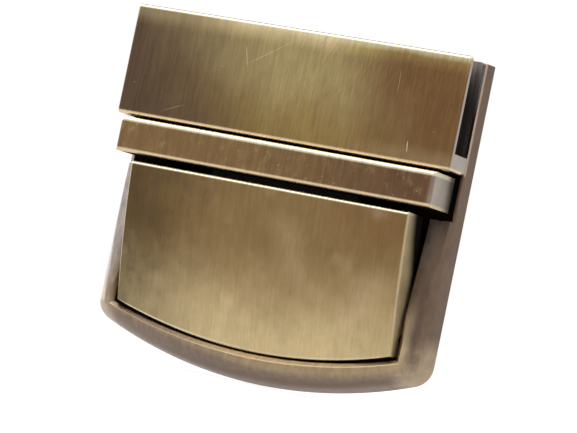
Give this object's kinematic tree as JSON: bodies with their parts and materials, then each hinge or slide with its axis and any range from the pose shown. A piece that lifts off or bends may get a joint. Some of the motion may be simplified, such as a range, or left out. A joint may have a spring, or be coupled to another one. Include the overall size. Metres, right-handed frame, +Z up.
{
  "type": "briefcase clasp",
  "caption": "Press-to-open clasp: a cast base with a hinged press plate, and a slotted flap piece whose tongue goes down behind a bridge bar.",
  "frame": {"origin": "middle of the four fixing holes, on the back face of the base", "axes": "+X across the clasp to the right as seen from the front, +Y into the briefcase, +Z up towards the flap"},
  "size_m": [0.05, 0.0102, 0.0485],
  "materials": {
    "antique_brass": "antique plating, satin",
    "brushed_brass": "antique plating, brushed up and down",
    "plated_steel": "brass-plated sheet",
    "spring_steel": "dark spring steel",
    "zinc_steel": "zinc-plated"
  },
  "bodies": {
    "base": {"base_frame": "antique_brass", "bridge_bar": "antique_brass", "bridge_screws": "zinc_steel", "hinge_pin": "zinc_steel", "return_spring_left": "spring_steel", "return_spring_right": "spring_steel", "catch_spring": "spring_steel", "catch_rivets": "zinc_steel", "rear_cover": "zinc_steel", "cover_screws": "zinc_steel"},
    "press": {"press_plate": "brushed_brass"},
    "flap": {"flap_front": "brushed_brass", "tongue_plate": "plated_steel", "flap_screws": "zinc_steel"}
  },
  "joints": [
    {"name": "press_hinge", "type": "hinge", "parent": "base", "child": "press", "pos_m": [0, -0.0031, -0.01429], "axis": [-1, 0, 0], "range_deg": [0, 8], "stiffness_Nm_per_rad": 0.2, "springref_deg": -8.59, "deforming": ["return_spring_left", "return_spring_right", "catch_spring"]},
    {"name": "flap_slide", "type": "slide", "parent": "base", "child": "flap", "axis": [0, 0, 1], "range_m": [0, 0.016], "deforming": ["catch_spring"]}
  ]
}
